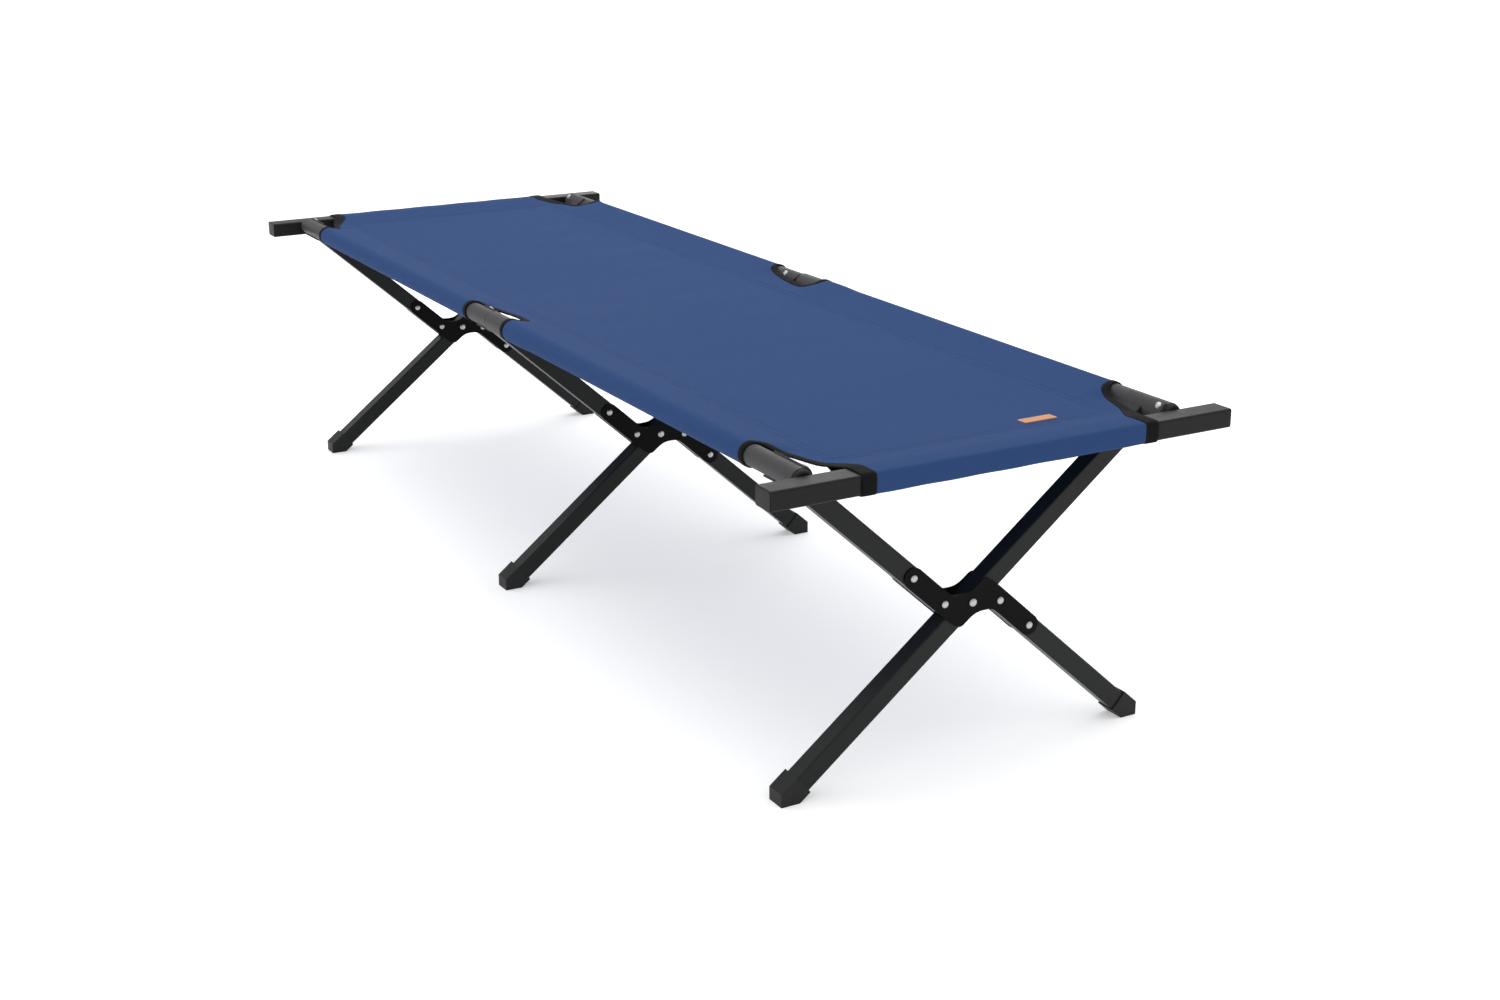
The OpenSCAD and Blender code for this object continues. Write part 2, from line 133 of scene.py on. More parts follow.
def plastic(name, col, rough):
    """Moulded plastic with a fine spark-eroded grain."""
    n = Net(name, **{"Specular IOR Level": 0.22})
    big = n.noise(40.0, 3.0, 0.5)
    n.to(n.ramp(big, tuple(c * 0.85 for c in col), tuple(c * 1.2 for c in col), 0.35, 0.65), "Base Color")
    n.to(n.range(big, 0.3, 0.7, rough - 0.04, rough + 0.08), "Roughness")
    v = n.node("ShaderNodeTexVoronoi", {"Vector": n.coords(), "Scale": 900.0}).outputs["Distance"]
    n.to(n.bump(n.math("ADD", v, n.noise(1800.0, 2.0)), 0.45, 0.00006), "Normal")
    return n.m


def steel(name, col, rough):
    """Zinc plated, pressed rivet steel: light scuffs and small roughness patches."""
    n = Net(name, Metallic=1.0)
    big = n.noise(300.0, 4.0, 0.6)
    n.to(n.ramp(big, tuple(c * 0.82 for c in col), col, 0.3, 0.7), "Base Color")
    n.to(n.range(big, 0.3, 0.7, rough - 0.06, rough + 0.1), "Roughness")
    n.to(n.bump(n.noise(2200.0, 2.0), 0.25, 0.00003), "Normal")
    return n.m


def woven(name, col, dark, thread=0.0008, depth=0.00011, rough=0.78, sheen=0.015, tint=(0.55, 0.68, 1.0, 1.0)):
    """Plain weave in the cloth's own flat coordinates: warp over weft, thread by thread."""
    n = Net(name, **{"Specular IOR Level": 0.04, "Sheen Weight": sheen, "Sheen Roughness": 0.5, "Sheen Tint": tint})
    uv = n.node("ShaderNodeUVMap", uv_map="flat").outputs["UV"]
    s = n.node("ShaderNodeSeparateXYZ", {"Vector": uv})
    u = n.math("MULTIPLY", s.outputs["X"], 1.0 / thread)
    v = n.math("MULTIPLY", s.outputs["Y"], 1.0 / thread)
    au = n.math("ABSOLUTE", n.math("SINE", n.math("MULTIPLY", u, pi)))
    av = n.math("ABSOLUTE", n.math("SINE", n.math("MULTIPLY", v, pi)))
    # which thread is on top alternates like a chequerboard
    chk = n.math("MODULO", n.math("ADD", n.math("FLOOR", u), n.math("FLOOR", v)), 2.0)
    chk = n.math("ABSOLUTE", chk)
    h = n.math("ADD", n.math("MULTIPLY", n.math("MULTIPLY", au, chk), 1.0),
               n.math("MULTIPLY", av, n.math("SUBTRACT", 1.0, chk)))
    slub = n.node("ShaderNodeTexNoise", {"Vector": n.node("ShaderNodeMapping", {"Vector": uv, "Scale": (30.0, 900.0, 1.0)}).outputs[0], "Scale": 1.0, "Detail": 2.0}).outputs["Fac"]
    slub2 = n.node("ShaderNodeTexNoise", {"Vector": n.node("ShaderNodeMapping", {"Vector": uv, "Scale": (900.0, 30.0, 1.0)}).outputs[0], "Scale": 1.0, "Detail": 2.0}).outputs["Fac"]
    cloud = n.noise(3.0, 3.0, 0.5)
    # base colour: darker where the threads dip between crossings, a painted shade in the weave gaps, plus random slub
    # and cloud tone
    weave_tone_and_gap_shade = n.math("ADD", n.math("MULTIPLY", h, 0.55), n.math("ADD", n.math("MULTIPLY", slub, 0.2), n.math("MULTIPLY", slub2, 0.2)))
    weave_tone_and_gap_shade = n.math("ADD", weave_tone_and_gap_shade, n.math("MULTIPLY", cloud, 0.12))
    n.to(n.ramp(weave_tone_and_gap_shade, dark, col, 0.08, 0.75), "Base Color")
    n.to(n.range(n.math("ADD", h, cloud), 0.2, 1.6, rough - 0.1, rough + 0.06), "Roughness")
    n.to(n.bump(n.math("ADD", h, n.math("MULTIPLY", slub, 0.5)), 0.55, depth), "Normal")
    return n.m


def leather(name, col):
    n = Net(name, **{"Specular IOR Level": 0.35})
    big = n.noise(60.0, 4.0, 0.6)
    n.to(n.ramp(big, tuple(c * 0.75 for c in col), col, 0.3, 0.7), "Base Color")
    n.to(n.range(big, 0.3, 0.7, 0.5, 0.66), "Roughness")
    v = n.node("ShaderNodeTexVoronoi", {"Vector": n.coords(), "Scale": 1400.0}).outputs["Distance"]
    n.to(n.bump(n.math("ADD", v, n.noise(900.0, 3.0)), 0.5, 0.00012), "Normal")
    return n.m


M = {
    "rail_paint": powder_coat("rail_powder_coat", (0.040, 0.040, 0.0425), 0.50, spec=0.20),
    "bar_paint": powder_coat("bar_powder_coat", (0.0062, 0.0064, 0.0067), 0.42, spec=0.17),
    "leg_paint": powder_coat("leg_powder_coat", (0.0062, 0.0070, 0.0068), 0.36, spec=0.20),
    "plate_paint": powder_coat("plate_powder_coat", (0.0034, 0.0034, 0.0036), 0.5, spec=0.06),
    "rivet_steel": steel("zinc_rivet", (0.50, 0.50, 0.49), 0.36),
    "black_plastic": plastic("black_plastic", (0.0062, 0.0062, 0.0066), 0.5),
    "foot_plastic": plastic("foot_plastic", (0.0085, 0.0090, 0.0090), 0.5),
    "cover_fabric": woven("cover_weave", (0.0262, 0.0600, 0.1640), (0.0165, 0.0395, 0.1140)),
    "binding_tape": woven("binding_weave", (0.0075, 0.0075, 0.0082), (0.0028, 0.0028, 0.0031), thread=0.0011, depth=0.00016, rough=0.75, sheen=0.02, tint=(0.9, 0.9, 0.9, 1)),
    "label_leather": leather("label_leather", (0.56, 0.235, 0.085)),
}
thread = Net("thread", Roughness=0.7, **{"Sheen Weight": 0.02, "Specular IOR Level": 0.1})
thread.to(thread.ramp(thread.noise(700.0), (0.024, 0.054, 0.148), (0.034, 0.073, 0.190), 0.35, 0.65), "Base Color")
M["thread"] = thread.m
tan = Net("label_thread", Roughness=0.65, **{"Sheen Weight": 0.2})
tan.to(tan.ramp(tan.noise(900.0), (0.62, 0.42, 0.24), (0.78, 0.58, 0.38), 0.35, 0.65), "Base Color")
M["label_thread"] = tan.m

slots = {s["node"]: s["material_slot"] for s in frame["record"]["subparts"]}
for side in ("near", "far"):
    # each head half gets a painted shade line where it goes into the foot half's socket
    node = NODES[side + "_rail_head_half"]
    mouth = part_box(side + "_rail_foot_half")[0].x - node.matrix_world.translation.x
    M[side + "_rail"] = powder_coat(side + "_rail_coat_with_painted_shade_line", (0.040, 0.040, 0.0425), 0.50, spec=0.20, shade_line_x=mouth - 0.0042)
    slots[node.name] = side + "_rail"
for name, obj in NODES.items():
    obj.data.materials.clear()
    obj.data.materials.append(M[slots[name]])
    for p in obj.data.polygons:
        p.use_smooth = True
    keep = radians(32)
    mod = obj.modifiers.new("edges", "EDGE_SPLIT")
    mod.split_angle = keep
    mod.use_edge_sharp = False


# ------------------------------------------------------------ sizes from the frame
lo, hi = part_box("near_rail_head_half")
near_lo, near_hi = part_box("near_rail_head_bush")
RY = -(near_lo.y + near_hi.y) / 2              # rail centre from the middle
RZ = (near_lo.z + near_hi.z) / 2               # rail centre height
RR = (hi.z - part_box("near_rail_foot_half")[0].z) / 2 - 0.0  # not the tube, set below
RR = (hi.z - lo.z) / 2
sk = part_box("near_rail_foot_half")
SOCK = (sk[1].z - sk[0].z) / 2                 # socket radius
blo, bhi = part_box("foot_bar")
BX0, BX1, BZ0, BZ1 = blo.x, bhi.x, blo.z, bhi.z
plo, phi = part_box("bed_panel")
slo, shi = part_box("bed_sleeves")
mlo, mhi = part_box("middle_bindings")
llo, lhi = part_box("label_patch")
PANEL = lhi.z - 0.0005                          # height of the level panel's cloth
SL = 0.797                                      # where the side sleeves stop
CUT_A, CUT_B = mlo.x + 0.010, mhi.x - 0.010     # the middle cut-outs, on the rail
SEAM_Y, SEAM_X = 0.210, 0.870
LEAN = radians(14)
T = 0.0009                                      # cloth thickness
END_Y = 0.218


# ------------------------------------------------------------ the cover as a developed sheet
def r_sleeve(x):
    """Radius of the cloth round the rail; it opens over the socket."""
    base, big = RR + 0.0011, SOCK + 0.0008
    if x < 0:
        return base
    t = min(1.0, max(0.0, (0.165 - x) / 0.055))
    return base + (big - base) * t * t * (3 - 2 * t)


def smooth_rise(d, slope, soft):
    """A crease that starts level and rises, with a soft turn."""
    return slope * 0.5 * (d + sqrt(d * d + soft * soft)) - slope * 0.5 * soft * 0.15


def end_slope():
    return (BZ1 + 0.0006 - PANEL) / (BX0 + 0.0024 - SEAM_X)


def step(v, a, b):
    t = min(1.0, max(0.0, (v - a) / (b - a)))
    return t * t * (3 - 2 * t)


def dip(x):
    """The free edges of the cut-outs hang lower than the sewn flanks beside them."""
    return 0.70 * step(abs(x), SL - 0.008, SL + 0.026) + 0.30 * step(min(x - CUT_A, CUT_B - x), -0.006, 0.030)


def H(x, y):
    """Height of the panel over the floor."""
    ay, ax = abs(y), abs(x)
    r = r_sleeve(x)
    slope_y = (RZ + r * cos(LEAN) - PANEL) / (RY - r * sin(LEAN) - SEAM_Y)
    a = smooth_rise(ay - SEAM_Y, slope_y, 0.012)
    b = smooth_rise(ax - SEAM_X, end_slope(), 0.010)
    fy = RY - r * sin(LEAN)
    a, b = max(a, 0) * (1 - dip(x) * (1 - step(ay, fy - 0.014, fy))), max(b, 0)
    up = (a ** 3 + b ** 3) ** (1 / 3)
    # a taut cloth still hangs a few millimetres in its middle, and draws between the frames
    ux, uy = min(1, ax / SEAM_X), min(1, ay / SEAM_Y)
    sag = 0.0035 * (1 - uy ** 2) * (1 - ux ** 6)
    draw = 0.0004 * sin(x * 47.0) * (1 - uy) * uy * 4 * (1 - ux ** 4)
    # slight puckering beside the seam
    puck = 0.00022 * sin(x * 2 * pi / 0.021 + 3 * sin(x * 13)) * math.exp(-((ay - SEAM_Y) / 0.010) ** 2) * (1 if ax < 0.86 else 0)
    return PANEL + up - sag + draw + puck


HEM = 0.012
ARC0 = -LEAN
ARC1 = pi + LEAN


def section(x):
    """Side sleeve: (end of panel, arc radius, arc start length, lower flank length) at x."""
    r = r_sleeve(x)
    fy = RY - r * sin(LEAN)
    arc = r * (ARC1 - ARC0)
    low_y, low_z = RY - r * sin(LEAN), RZ - r * cos(LEAN)
    run = hypot(low_y - SEAM_Y, PANEL - 0.0013 - low_z)
    return r, fy, arc, low_y, low_z, run


def F(x, s, h=0.0):
    """Point of the cover at x, and at s along its width: the panel, then round the rail and back to the seam.
    h lifts it off the cloth on its outer face."""
    side = -1 if s < 0 else 1
    a = abs(s)
    r, fy, arc, ly, lz, run = section(x)
    if a <= fy:
        z = H(x, s)
        e = 0.0005
        dzy = (H(x, s + e) - H(x, s - e)) / (2 * e)
        dzx = (H(x + e, s) - H(x - e, s)) / (2 * e)
        n = Vector((-dzx, -dzy, 1)).normalized()
        return Vector((x, s, z)) + n * h
    a -= fy
    if a <= arc:
        t = ARC0 + a / r
        n = Vector((0, side * sin(t), cos(t)))
        return Vector((x, side * RY, RZ)) + n * (r + h)
    a -= arc
    d = Vector((0, side * (SEAM_Y - ly), PANEL - 0.0013 - lz)).normalized()
    n = Vector((0, side * -d.z * side * side, 0))
    out = Vector((0, side * sin(ARC1), cos(ARC1)))
    if a <= run:
        return Vector((x, side * ly, lz)) + d * a + out * h
    a -= run
    return Vector((x, side * (SEAM_Y - a), PANEL - 0.0013)) + Vector((0, 0, -1)) * h


def s_end(x):
    r, fy, arc, ly, lz, run = section(x)
    return fy + arc + run + HEM


# end sleeve: path in the x-z plane from the panel's end, outward round the bar
def bar_path():
    o = 0.0008
    rc = 0.0042
    x0, x1, z0, z1 = BX0 - o, BX1 + o, BZ0 - o, BZ1 + o
    pts = []

    def arc(cx, cz, a0, a1, n=7):
        for i in range(n + 1):
            a = a0 + (a1 - a0) * i / n
            pts.append((cx + rc * cos(a), cz + rc * sin(a)))

    arc(x0 + rc, z1 - rc, radians(100), radians(90), 2)
    for i in range(1, 5):
        pts.append((x0 + rc + (x1 - x0 - 2 * rc) * i / 5, z1 + 0.0003 * sin(pi * i / 5)))
    arc(x1 - rc, z1 - rc, radians(90), 0)
    for i in range(1, 5):
        pts.append((x1 + 0.0005 * sin(pi * i / 5), z1 - rc - (z1 - z0 - 2 * rc) * i / 5))
    arc(x1 - rc, z0 + rc, 0, radians(-90))
    for i in range(1, 5):
        pts.append((x1 - rc - (x1 - x0 - 2 * rc) * i / 5, z0 - 0.0004 * sin(pi * i / 5)))
    arc(x0 + rc, z0 + rc, radians(-90), radians(-100), 2)
    lx, lz = pts[-1]
    for i in range(1, 7):
        pts.append((lx + (SEAM_X - lx) * i / 6, lz + (PANEL - 0.0013 - lz) * i / 6))
    pts.append((SEAM_X - HEM / 2, PANEL - 0.0013))
    pts.append((SEAM_X - HEM, PANEL - 0.0013))
    return pts


BAR = bar_path()
BAR_S = [0.0]
for a, b in zip(BAR, BAR[1:]):
    BAR_S.append(BAR_S[-1] + hypot(b[0] - a[0], b[1] - a[1]))
X_END = BAR[0][0]                               # where the panel becomes the end sleeve


def G(e, u, y, h=0.0):
    """Point of an end sleeve: u along its path from the panel's end, at y."""
    u = min(max(u, 0), BAR_S[-1] - 1e-9)
    i = max(k for k in range(len(BAR_S) - 1) if BAR_S[k] <= u)
    t = (u - BAR_S[i]) / (BAR_S[i + 1] - BAR_S[i])
    a, b = BAR[i], BAR[i + 1]
    d = Vector((b[0] - a[0], b[1] - a[1])).normalized()

    def nrm(k):
        k = min(max(k, 0), len(BAR) - 2)
        q = Vector((BAR[k + 1][0] - BAR[k][0], BAR[k + 1][1] - BAR[k][1])).normalized()
        return Vector((-q.y, q.x))
    n = (nrm(i - 1) + nrm(i)) * (1 - t) + (nrm(i) + nrm(i + 1)) * t
    n.normalize()
    bow = 0.0006 * cos(y * pi / (2 * END_Y)) * (1 if u < 0.1 else 0)
    wob = 0.00025 * sin(y * 2 * pi / 0.083 + 2 * e) * (1 if 0.01 < u < 0.085 else 0)
    p = Vector((a[0] + (b[0] - a[0]) * t, a[1] + (b[1] - a[1]) * t)) + n * (h + wob + bow * 0)
    return Vector((e * p.x, y, p.y))


# ------------------------------------------------------------ outline of the panel
def bez(points, x):
    """Smooth monotone curve through (x, y) points."""
    xs = [p[0] for p in points]
    ys = [p[1] for p in points]
    if x <= xs[0]:
        return ys[0]
    if x >= xs[-1]:
        return ys[-1]
    i = max(k for k in range(len(xs) - 1) if xs[k] <= x)
    h = [xs[k + 1] - xs[k] for k in range(len(xs) - 1)]
    dl = [(ys[k + 1] - ys[k]) / h[k] for k in range(len(h))]
    m = [dl[0]] + [0 if dl[k - 1] * dl[k] <= 0 else 2 * dl[k - 1] * dl[k] / (dl[k - 1] + dl[k]) for k in range(1, len(dl))] + [dl[-1]]
    t = (x - xs[i]) / h[i]
    return ((2 * t ** 3 - 3 * t ** 2 + 1) * ys[i] + (t ** 3 - 2 * t ** 2 + t) * h[i] * m[i]
            + (-2 * t ** 3 + 3 * t ** 2) * ys[i + 1] + (t ** 3 - t ** 2) * h[i] * m[i + 1])


CORNER = [(SL, 0.2715), (SL + 0.0015, 0.2655), (SL + 0.006, 0.260), (SL + 0.014, 0.2555), (SL + 0.028, 0.2500), (SL + 0.046, 0.2445), (0.868, 0.2375), (0.884, 0.2325), (0.900, 0.2260), (X_END, END_Y)]
MIDDLE = [(CUT_A, 0.2715), (CUT_A + 0.0015, 0.266), (CUT_A + 0.006, 0.261), (CUT_A + 0.014, 0.2570), (CUT_A + 0.026, 0.2530), (CUT_A + 0.045, 0.2485), (CUT_A + 0.068, 0.2440), (CUT_A + 0.092, 0.2400),
          (CUT_B - 0.046, 0.2375), (CUT_B - 0.028, 0.2370), (CUT_B - 0.016, 0.2405), (CUT_B - 0.008, 0.2495), (CUT_B - 0.0025, 0.262), (CUT_B, 0.2715)]


def width(x):
    """Half width of the panel at x."""
    full = section(x)[1]
    ax = abs(x)
    if ax > SL:
        return min(full, bez(CORNER, ax))
    if CUT_A < x < CUT_B:
        return min(full, bez(MIDDLE, x))
    return full


def spread(a, b, n, ends=0.0):
    """n steps from a to b, closer together near the ends."""
    out = []
    for i in range(n + 1):
        t = i / n
        t = t + ends * (0.5 - 0.5 * cos(pi * t) - t)
        out.append(a + (b - a) * t)
    return out


xs = []
for seg in (spread(-X_END, -SL, 34, 0.9), spread(-SL, CUT_A, 62, 0.6), spread(CUT_A, CUT_B, 44, 0.95), spread(CUT_B, SL, 64, 0.6), spread(SL, X_END, 34, 0.9)):
    xs += seg if not xs else seg[1:]


def near_station(x):
    return min(range(len(xs)), key=lambda i: abs(xs[i] - x))


I_A, I_B, I_L, I_R = (near_station(v) for v in (CUT_A, CUT_B, -SL, SL))
NC, NF = 38, 16                                  # cells across the level part, and each flank


def ys(x):
    w = width(x)
    core = 0.196
    mid = [core * (2 * j / NC - 1) for j in range(NC + 1)]
    flank = [core + (w - core) * (1 - (1 - j / NF) ** 1.25) for j in range(1, NF + 1)]
    return [-v for v in reversed(flank)] + mid + flank


def build(name, verts, faces, uvs, mat, smooth=True):
    me = bpy.data.meshes.new(name)
    me.from_pydata([tuple(v) for v in verts], [], faces)
    uv = me.uv_layers.new(name="flat")
    for l in me.loops:
        uv.data[l.index].uv = uvs[l.vertex_index]
    me.materials.append(mat)
    for p in me.polygons:
        p.use_smooth = smooth
    o = bpy.data.objects.new(name, me)
    bpy.context.scene.collection.objects.link(o)
    return o


def cover_mesh():
    verts, uvs, faces, index = [], [], [], {}

    def add(key, p, uv):
        if key not in index:
            index[key] = len(verts)
            verts.append(p)
            uvs.append(uv)
        return index[key]

    rows = []
    for i, x in enumerate(xs):
        row = []
        for j, y in enumerate(ys(x)):
            row.append(add(("p", i, j), F(x, y), (x, y)))
        rows.append(row)
    for i in range(len(xs) - 1):
        for j in range(len(rows[0]) - 1):
            faces.append((rows[i][j], rows[i + 1][j], rows[i + 1][j + 1], rows[i][j + 1]))
    last = len(rows[0]) - 1
    # side sleeves
    NA, NL, NH = 34, 7, 2
    for side in (-1, 1):
        for i0, i1 in ((I_L, I_A), (I_B, I_R)):
            grid = []
            for i in range(i0, i1 + 1):
                x = xs[i]
                r, fy, arc, ly, lz, run = section(x)
                st = [fy + arc * k / NA for k in range(NA + 1)] + [fy + arc + run * k / NL for k in range(1, NL + 1)] + [fy + arc + run + HEM * k / NH for k in range(1, NH + 1)]
                col = [rows[i][0 if side < 0 else last]]
                for k, s in enumerate(st[1:]):
                    col.append(add(("s", side, i, k), F(x, side * s), (x, side * s)))
                grid.append(col)
            for a, b in zip(grid, grid[1:]):
                for k in range(len(a) - 1):
                    q = (a[k], b[k], b[k + 1], a[k + 1])
                    faces.append(q if side > 0 else q[::-1])
    # end sleeves
    for e, i in ((-1, 0), (1, len(xs) - 1)):
        yy = ys(xs[i])
        grid = []
        for j, y in enumerate(yy):
            col = [rows[i][j]]
            for k in range(1, len(BAR)):
                col.append(add(("e", e, j, k), G(e, BAR_S[k], y), (e * (X_END + BAR_S[k]), y)))
            grid.append(col)
        for a, b in zip(grid, grid[1:]):
            for k in range(len(a) - 1):
                q = (a[k], a[k + 1], b[k + 1], b[k])
                faces.append(q if e > 0 else q[::-1])
    o = build("cover_sheet", verts, faces, uvs, M["cover_fabric"])
    return o


def finish_mesh(o, thickness=None, bevel=None, sub=0):
    """Applies a solidify, bevel or subdivision."""
    if thickness:
        m = o.modifiers.new("t", "SOLIDIFY")
        m.thickness = thickness
        m.offset = 0
        m.use_even_offset = True
    if bevel:
        m = o.modifiers.new("b", "BEVEL")
        m.width = bevel
        m.segments = 2
        m.limit_method = "ANGLE"
    if sub:
        m = o.modifiers.new("s", "SUBSURF")
        m.levels = m.render_levels = sub
    dg = bpy.context.evaluated_depsgraph_get()
    me = bpy.data.meshes.new_from_object(o.evaluated_get(dg))
    o.modifiers.clear()
    o.data = me
    return o


cover = cover_mesh()
finish_mesh(cover, thickness=T)


# ------------------------------------------------------------ bindings: black tape folded over every cut edge
def tape(name, lines):
    """lines: list of lists of (function, (a, b)) points, where function maps the flat (a, b) and a lift to space,
    with the inward direction (da, db) in the flat."""
    verts, uvs, faces = [], [], []
    prof = [(1.0, 0.95), (0.97, 1.25), (0.72, 1.42), (0.38, 1.45), (0.06, 1.35), (-0.05, 0.85), (-0.08, 0.0), (-0.05, -0.85), (0.06, -1.35), (0.38, -1.45), (0.72, -1.42), (0.97, -1.25), (1.0, -0.95)]
    inner = [(1.0, -0.52), (0.5, -0.52), (0.02, -0.5), (0.0, 0.0), (0.02, 0.5), (0.5, 0.52), (1.0, 0.52)]
    ring = prof + inner
    for line in lines:
        rings = []
        d = 0.0
        prev = None
        for fn, a, b, da, db, w in line:
            p0 = fn(a, b, 0)
            if prev is not None:
                d += (p0 - prev).length
            prev = p0
            r = []
            for k, (q, hh) in enumerate(ring):
                verts.append(fn(a + da * w * q, b + db * w * q, hh * T * 0.98))
                uvs.append((d, q * w + (0.03 if k >= len(prof) else 0) + hh * 0.0006))
                r.append(len(verts) - 1)
            rings.append(r)
        for r0, r1 in zip(rings, rings[1:]):
            n = len(ring)
            for k in range(n):
                faces.append((r0[k], r0[(k + 1) % n], r1[(k + 1) % n], r1[k]))
        faces.append(tuple(reversed(rings[0])))
        faces.append(tuple(rings[-1]))
    return build(name, verts, faces, uvs, M["binding_tape"])


def edge_line(pts, fn, inward, widths):
    """Samples of a flat polyline with inward normals and the tape's width."""
    out = []
    for i, (a, b) in enumerate(pts):
        p, q = pts[max(i - 1, 0)], pts[min(i + 1, len(pts) - 1)]
        tx, ty = q[0] - p[0], q[1] - p[1]
        l = hypot(tx, ty) or 1e-9
        nx, ny = -ty / l * inward, tx / l * inward
        out.append((fn, a, b, nx, ny, widths[i]))
    return out


def cover_fn(a, b, h):
    return F(a, b, h)


def mouth_pts(x, side, a0, a1, n):
    """Flat points along a sleeve mouth at x."""
    return [(x, side * (a0 + (a1 - a0) * i / n)) for i in range(n + 1)]


def clamp_normal(line, start, end, n0, n1):
    """Smooths the row of normals."""
    for _ in range(3):
        new = []
        for k, p in enumerate(line):
            q, r = line[max(k - 1, 0)], line[min(k + 1, len(line) - 1)]
            nx, ny = p[3] * 2 + q[3] + r[3], p[4] * 2 + q[4] + r[4]
            l = hypot(nx, ny) or 1
            new.append((p[0], p[1], p[2], nx / l, ny / l, p[5]))
        line = new
    return line


mid_lines, corner_lines = [], []
for side in (-1, 1):
    # middle cut-out: up the head mouth, along the cut, down the foot mouth
    xa, xb = xs[I_A], xs[I_B]
    sa, sb = s_end(xa) - 0.002, s_end(xb) - 0.002
    fa, fb = section(xa)[1], section(xb)[1]
    pts = mouth_pts(xa, side, sa, fa + 0.001, 44)
    w = [0.010] * len(pts)
    cut = [(CUT_A + (CUT_B - CUT_A) * (0.5 - 0.5 * cos(pi * i / 60))) for i in range(1, 60)]
    pts += [(x, side * min(section(x)[1], bez(MIDDLE, x))) for x in cut]
    w += [0.010] * 59
    foot = mouth_pts(xb, side, fb + 0.001, sb, 44)
    pts += foot
    w += [0.010] * len(foot)
    mid_lines.append(clamp_normal(edge_line(pts, cover_fn, side * 1, w), 0, 0, 0, 0))
    for e in (-1, 1):
        s0 = s_end(SL) - 0.002
        f0 = section(SL)[1]

        def fn(a, b, h, e=e):
            # beyond the panel's end the flat goes on as the end sleeve
            if a > X_END:
                return G(e, a - X_END, b, h)
            return F(e * a, b, h)
        pts = [(SL, side * (s0 + (f0 + 0.001 - s0) * i / 44)) for i in range(45)]
        w = [0.010] * 45
        cx = [SL + (X_END - SL) * (1 - cos(pi * i / 120)) for i in range(1, 60)]
        pts += [(x, side * min(section(x)[1], bez(CORNER, x))) for x in cx]
        w += [0.010 + 0.009 * step(x, 0.855, X_END) for x in cx]
        tail = BAR_S[-1] - 0.002
        pts += [(X_END + tail * i / 80, side * END_Y) for i in range(0, 81)]
        w += [0.019] * 81
        corner_lines.append(clamp_normal(edge_line(pts, fn, -side, w), 0, 0, 0, 0))

mid_tape = tape("middle_binding_tape", mid_lines)
corner_tape = tape("corner_binding_tape", corner_lines)


# ------------------------------------------------------------ stitching
def stitches(name, runs, mat, pitch=0.0042, length=0.003, r=0.00034):
    """Rows of raised lock stitches along flat polylines; each is a small rounded bead."""
    verts, faces, uvs = [], [], []
    for fn, pts, lift in runs:
        # walk the line
        segs = []
        for a, b in zip(pts, pts[1:]):
            l = (fn(*b, 0) - fn(*a, 0)).length
            n = max(1, int(l / 0.02))
            for i in range(n):
                t0, t1 = i / n, (i + 1) / n
                segs.append(((a[0] + (b[0] - a[0]) * t0, a[1] + (b[1] - a[1]) * t0), (a[0] + (b[0] - a[0]) * t1, a[1] + (b[1] - a[1]) * t1)))
        carry = 0.0
        for a, b in segs:
            pa, pb = fn(*a, lift), fn(*b, lift)
            l = (pb - pa).length
            if l < 1e-7:
                continue
            s = carry
            while s < l:
                t0, t1 = s / l, min((s + length) / l, 1.05)
                q0 = fn(a[0] + (b[0] - a[0]) * t0, a[1] + (b[1] - a[1]) * t0, lift)
                q1 = fn(a[0] + (b[0] - a[0]) * t1, a[1] + (b[1] - a[1]) * t1, lift)
                up = fn(a[0] + (b[0] - a[0]) * t0, a[1] + (b[1] - a[1]) * t0, lift + 0.001) - q0
                d = (q1 - q0)
                if d.length > 1e-6:
                    d.normalize()
                    up.normalize()
                    side = d.cross(up).normalized()
                    base = len(verts)
                    for f, k in ((-0.02, 0.35), (0.18, 0.9), (0.82, 0.9), (1.02, 0.35)):
                        c = q0 + (q1 - q0) * f
                        for m in range(6):
                            an = m * pi / 3
                            verts.append(c + side * cos(an) * r * k + up * sin(an) * r * k * 0.9)
                            uvs.append((f * 0.003, m * 0.0003))
                    for ring in range(3):
                        for m in range(6):
                            a0, a1 = base + ring * 6 + m, base + ring * 6 + (m + 1) % 6
                            faces.append((a0, a1, a1 + 6, a0 + 6))
                    faces.append(tuple(base + m for m in reversed(range(6))))
                    faces.append(tuple(base + 18 + m for m in range(6)))
                s += pitch
            carry = s - l
    return build(name, verts, faces, uvs, mat)


runs = []
for side in (-1, 1):
    for off in (0.0015, -0.0085):
        y = side * (SEAM_Y + off)
        for x0, x1 in ((-SEAM_X + 0.010, SEAM_X - 0.010),):
            n = 120
            runs.append((cover_fn, [(x0 + (x1 - x0) * i / n, y) for i in range(n + 1)], T * 0.62))
for e in (-1, 1):
    for off in (0.0015, -0.0085):
        x = e * (SEAM_X + off)
        runs.append((cover_fn, [(x, -0.204 + 0.408 * i / 20) for i in range(21)], T * 0.62))
seams = stitches("cover_stitching", runs, M["thread"])

# stitching along the inner edge of the binding, black on black
bruns = []
for line in mid_lines + corner_lines:
    pts = [(a + da * (w - 0.0018), b + db * (w - 0.0018)) for fn, a, b, da, db, w in line]
    bruns.append((line[0][0], pts, T * 1.42))
bthread = Net("binding_thread", Roughness=0.6)
bthread.to(bthread.ramp(bthread.noise(800.0), (0.010, 0.010, 0.011), (0.022, 0.022, 0.024), 0.35, 0.65), "Base Color")
bstitch = stitches("binding_stitching", bruns, bthread.m, pitch=0.0036, length=0.0025, r=0.0003)


